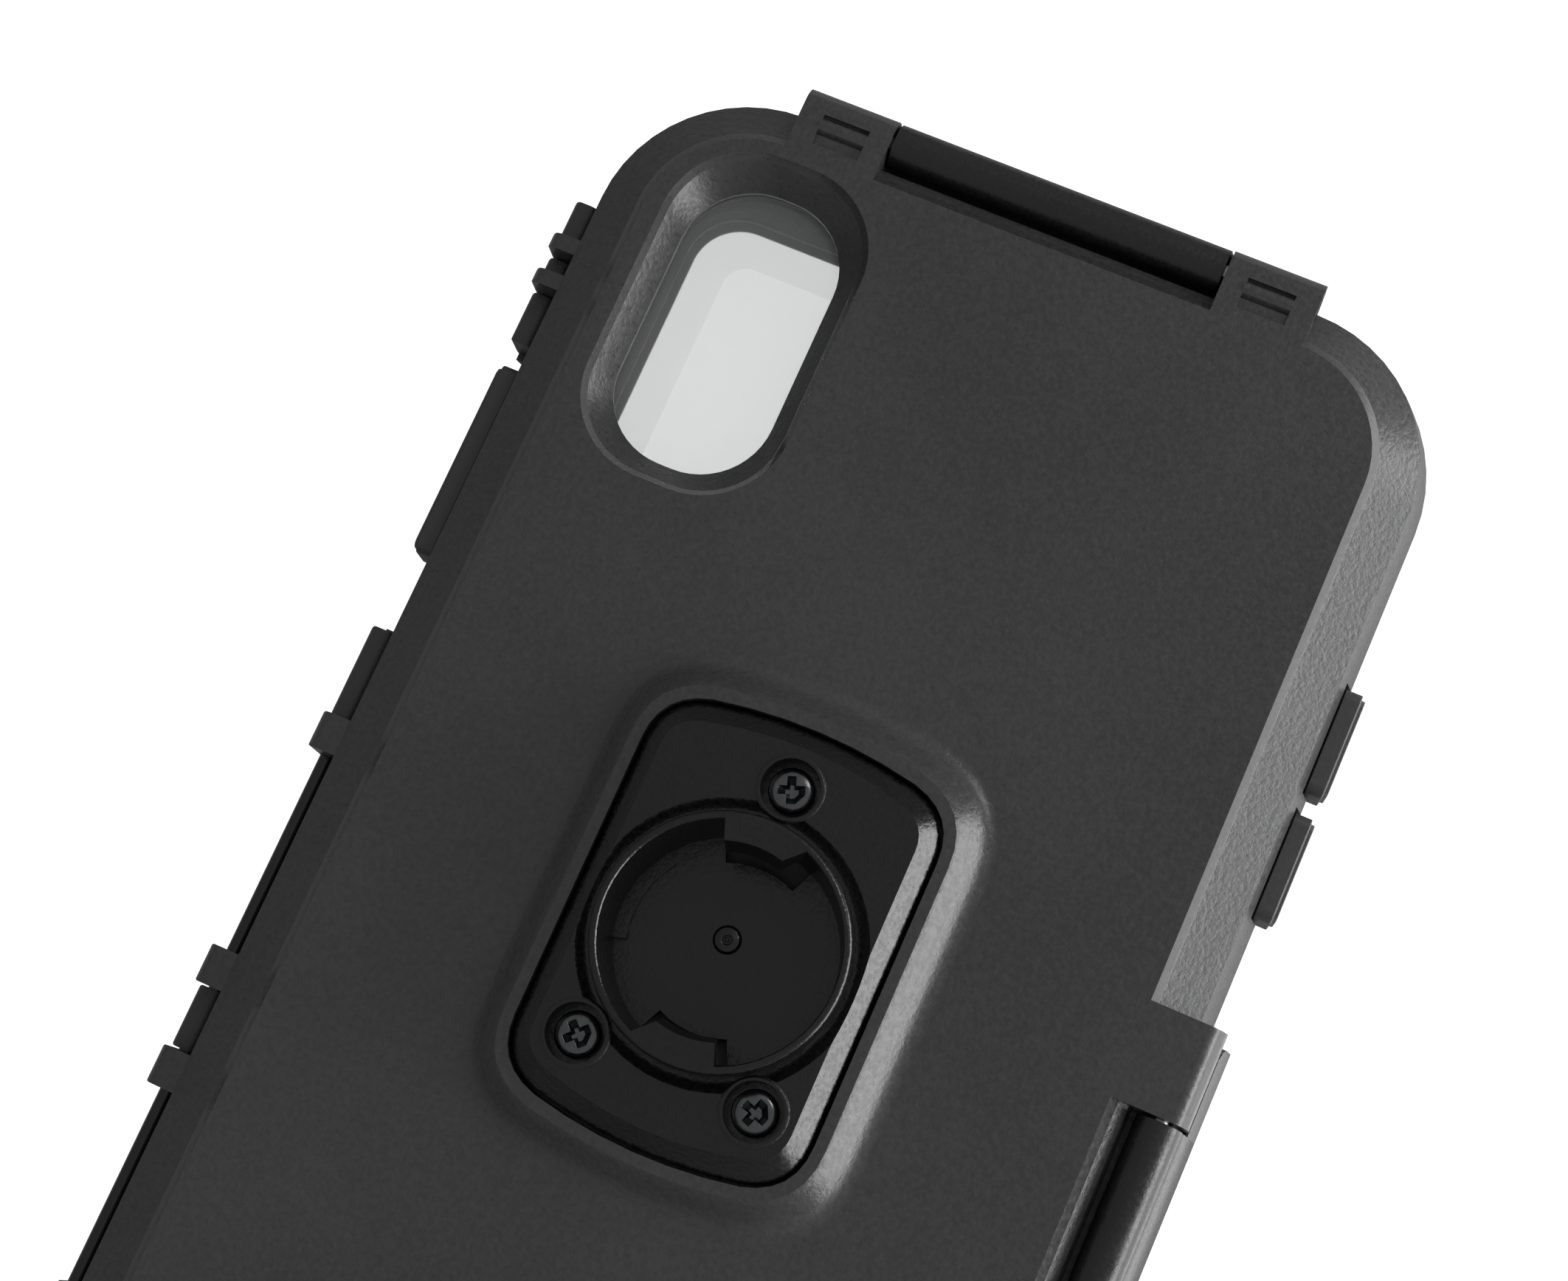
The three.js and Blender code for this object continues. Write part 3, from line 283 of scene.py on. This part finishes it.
lens_clear = clear_material("lens_clear", (0.0, 0.03), (0.84, 0.85, 0.85), haze=0.12)
# The membrane's edge band is matt and darker; the darker tint is painted shadow along the opening's edge.
membrane_clear = clear_material(
    "membrane_clear", (0.0, 0.05), (0.88, 0.88, 0.88), frost_and_shade=((35.4, 70.5), 8.0, 5.5),
)

MATERIALS = {
    "shell_plastic": shell_plastic, "frame_plastic": frame_plastic, "latch_plastic": latch_plastic,
    "plate_plastic": plate_plastic, "seal_rubber": rubber, "button_rubber": button_rubber,
    "cushion_foam": foam, "pin_steel": pin_steel, "screw_steel": screw_steel, "rod_black": rod_black,
    "insert_brass": insert_brass, "mesh_steel": mesh_steel, "lens_clear": lens_clear,
    "membrane_clear": membrane_clear,
}
SLOT_OF = {entry["node"]: entry["material_slot"] for entry in frame["record"]["subparts"]}


# ---- Pieces ----


def body_of(node):
    return frame["nodes"][node]["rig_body"]


def dress(node):
    """Gives a CAD node that stays its procedural material."""
    mesh = frame["nodes"][node].data
    mesh.materials.clear()
    mesh.materials.append(MATERIALS[SLOT_OF[node]])


def refine(node, width):
    """Replaces a CAD node by the same shape with rounded edges and smooth curved faces."""
    mesh = frame["nodes"][node].data.copy()
    mesh.name = node + "_fine"
    shape = bmesh.new()
    shape.from_mesh(mesh)
    bmesh.ops.remove_doubles(shape, verts=shape.verts, dist=WELD)
    bmesh.ops.dissolve_limit(
        shape, angle_limit=CLEAN_ANGLE, use_dissolve_boundaries=False,
        verts=shape.verts, edges=shape.edges,
    )
    shape.to_mesh(mesh)
    shape.free()
    piece = bpy.data.objects.new(node + "_fine", mesh)
    bpy.context.scene.collection.objects.link(piece)
    mesh.materials.clear()
    mesh.materials.append(MATERIALS[SLOT_OF[node]])
    bevel = piece.modifiers.new("edges", "BEVEL")
    bevel.width = width * MM
    bevel.segments = EDGE_SEGMENTS
    bevel.limit_method = "ANGLE"
    bevel.angle_limit = EDGE_ANGLE
    bevel.use_clamp_overlap = True
    bevel.harden_normals = False
    for polygon in mesh.polygons:
        polygon.use_smooth = True
    mesh.set_sharp_from_angle(angle=SHARP_ANGLE)
    weighted = piece.modifiers.new("normals", "WEIGHTED_NORMAL")
    weighted.keep_sharp = True
    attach(piece, body_of(node))
    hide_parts(node)


def foam_pad(node):
    """A die-cut foam pad: rounded, slightly pinched edges and a skin that isn't quite flat."""
    mesh = frame["nodes"][node].data.copy()
    mesh.name = node + "_foam"
    pad = bpy.data.objects.new(mesh.name, mesh)
    bpy.context.scene.collection.objects.link(pad)
    remesh = pad.modifiers.new("cells", "REMESH")
    remesh.mode = "VOXEL"
    remesh.voxel_size = FOAM_VOXEL * MM
    smooth = pad.modifiers.new("soften", "SMOOTH")
    smooth.factor = 0.5
    smooth.iterations = 5
    evaluated = pad.evaluated_get(bpy.context.evaluated_depsgraph_get())
    soft = bpy.data.meshes.new_from_object(evaluated)
    pad.modifiers.clear()
    pad.data = soft
    soft.name = node + "_foam"
    for vertex in soft.vertices:
        wave = mathnoise.noise(vertex.co * 90) + 0.5 * mathnoise.noise(vertex.co * 400)
        vertex.co += vertex.normal * (wave - 1) * FOAM_WAVE * MM
    soft.polygons.foreach_set("use_smooth", [True] * len(soft.polygons))
    soft.materials.clear()
    soft.materials.append(MATERIALS[SLOT_OF[node]])
    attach(pad, body_of(node))
    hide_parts(node)


# Width of the rounded edges of each refined node, in millimetres
FINE = {
    "back_shell": 0.22, "mount_plate": 0.14, "top_latch": 0.2, "side_latch": 0.2, "front_frame": 0.08,
    "power_button": 0.4, "volume_up_button": 0.4, "volume_down_button": 0.4, "port_door": 0.2,
    "mount_screw_1": 0.05, "mount_screw_2": 0.05, "mount_screw_3": 0.05,
    "camera_lens": 0.12, "camera_lens_retainer": 0.12, "mount_gasket": 0.15, "main_seal": 0.28,
    "inner_liner": 0.3, "membrane_bezel": 0.12, "power_seal": 0.2, "volume_up_seal": 0.2,
    "volume_down_seal": 0.2, "port_door_seal": 0.15, "hinge_pin_upper": 0.15, "hinge_pin_lower": 0.15,
    "top_latch_pin": 0.15, "side_latch_pin": 0.15, "port_door_pin": 0.1,
}
FOAM = ["back_cushion"]
for node in frame["nodes"]:
    if node in FOAM:
        foam_pad(node)
    elif node in FINE:
        refine(node, FINE[node])
    else:
        dress(node)

# ---- Stage, light and camera ----
FLOOR_SIZE = 6
FLOOR_TONE = 0.5
FLOOR_GLOW = 0.08
FLOOR_GLOW_SEEN = 1.0
HORIZON = 0.12
ZENITH = 0.43
DARK_SIDE = 0.8


def make_floor():
    """A pale floor, brighter where it is seen directly or through the window than in reflections."""
    bpy.ops.mesh.primitive_plane_add(size=FLOOR_SIZE)
    floor = bpy.context.object
    floor.name = "floor"
    material, nodes, links, shader = new_material("floor")
    shader.inputs["Base Color"].default_value = grey(FLOOR_TONE)
    shader.inputs["Roughness"].default_value = 0.9
    shader.inputs["Specular IOR Level"].default_value = 0.0
    shader.inputs["Emission Color"].default_value = grey(1.0)
    seen = nodes.new("ShaderNodeMapRange")
    seen.inputs["To Min"].default_value = FLOOR_GLOW
    seen.inputs["To Max"].default_value = FLOOR_GLOW_SEEN
    path = nodes.new("ShaderNodeLightPath")
    looking = nodes.new("ShaderNodeMath")
    looking.operation = "MAXIMUM"
    links.new(path.outputs["Is Camera Ray"], looking.inputs[0])
    links.new(path.outputs["Is Transmission Ray"], looking.inputs[1])
    links.new(looking.outputs[0], seen.inputs["Value"])
    links.new(seen.outputs["Result"], shader.inputs["Emission Strength"])
    floor.data.materials.append(material)


def softbox(name, place, aim, size, brightness):
    """An area light; brightness is the radiance of its face."""
    data = bpy.data.lights.new(name, "AREA")
    data.shape = "RECTANGLE"
    data.size, data.size_y = size
    data.energy = brightness * math.pi * size[0] * size[1]
    light = bpy.data.objects.new(name, data)
    light.location = place
    light.rotation_euler = (Vector(aim) - Vector(place)).to_track_quat("-Z", "Y").to_euler()
    bpy.context.scene.collection.objects.link(light)
    return light


def make_world():
    """A soft room: mid grey overhead, darker towards the horizon and on the hinge side."""
    world = bpy.data.worlds.new("studio")
    world.use_nodes = True
    bpy.context.scene.world = world
    nodes, links = world.node_tree.nodes, world.node_tree.links
    split = nodes.new("ShaderNodeSeparateXYZ")
    links.new(nodes.new("ShaderNodeTexCoord").outputs["Generated"], split.inputs["Vector"])
    shade = ramp(nodes, links, split.outputs["Z"], ((0.02, HORIZON), (0.3, ZENITH)))
    links.new(shade, nodes["Background"].inputs["Color"])
    side = nodes.new("ShaderNodeMapRange")
    side.inputs["From Min"].default_value = -0.9
    side.inputs["From Max"].default_value = 0.2
    side.inputs["To Min"].default_value = DARK_SIDE
    links.new(split.outputs["X"], side.inputs["Value"])
    links.new(side.outputs["Result"], nodes["Background"].inputs["Strength"])


OBJECT_MIDDLE = (0, 0, 0.02)
make_floor()
make_world()
softbox("key_low", (0.79, 0.18, 0.14), OBJECT_MIDDLE, (1.0, 0.28), 9)
softbox("key_high", (0.73, 0.08, 0.38), OBJECT_MIDDLE, (1.0, 0.24), 1.2)
softbox("side_lamp", (0.27, 0.47, 0.58), OBJECT_MIDDLE, (0.16, 0.16), 8)
bounce = softbox("floor_bounce", (0.226, -0.02, 0.0006), (0.226, -0.02, 1), (0.35, 0.6), 1.9)
bounce.visible_camera = False
bpy.context.scene.view_settings.view_transform = "Standard"

CAMERA_PLACE = (0.03381, -0.02013, 0.27206)
CAMERA_TURN = (13.305, 3.911, 23.899)  # degrees about X, then Y, then Z
LENS_MM = 65.54
SENSOR_MM = 36
camera_data = bpy.data.cameras.new("camera")
camera_data.lens = LENS_MM
camera_data.sensor_width = SENSOR_MM
camera_data.sensor_fit = "HORIZONTAL"
camera_data.clip_start = 0.01
camera = bpy.data.objects.new("camera", camera_data)
turn = Euler([math.radians(angle) for angle in CAMERA_TURN])
camera.matrix_world = Matrix.Translation(CAMERA_PLACE) @ turn.to_matrix().to_4x4()
bpy.context.scene.collection.objects.link(camera)
bpy.context.scene.camera = camera
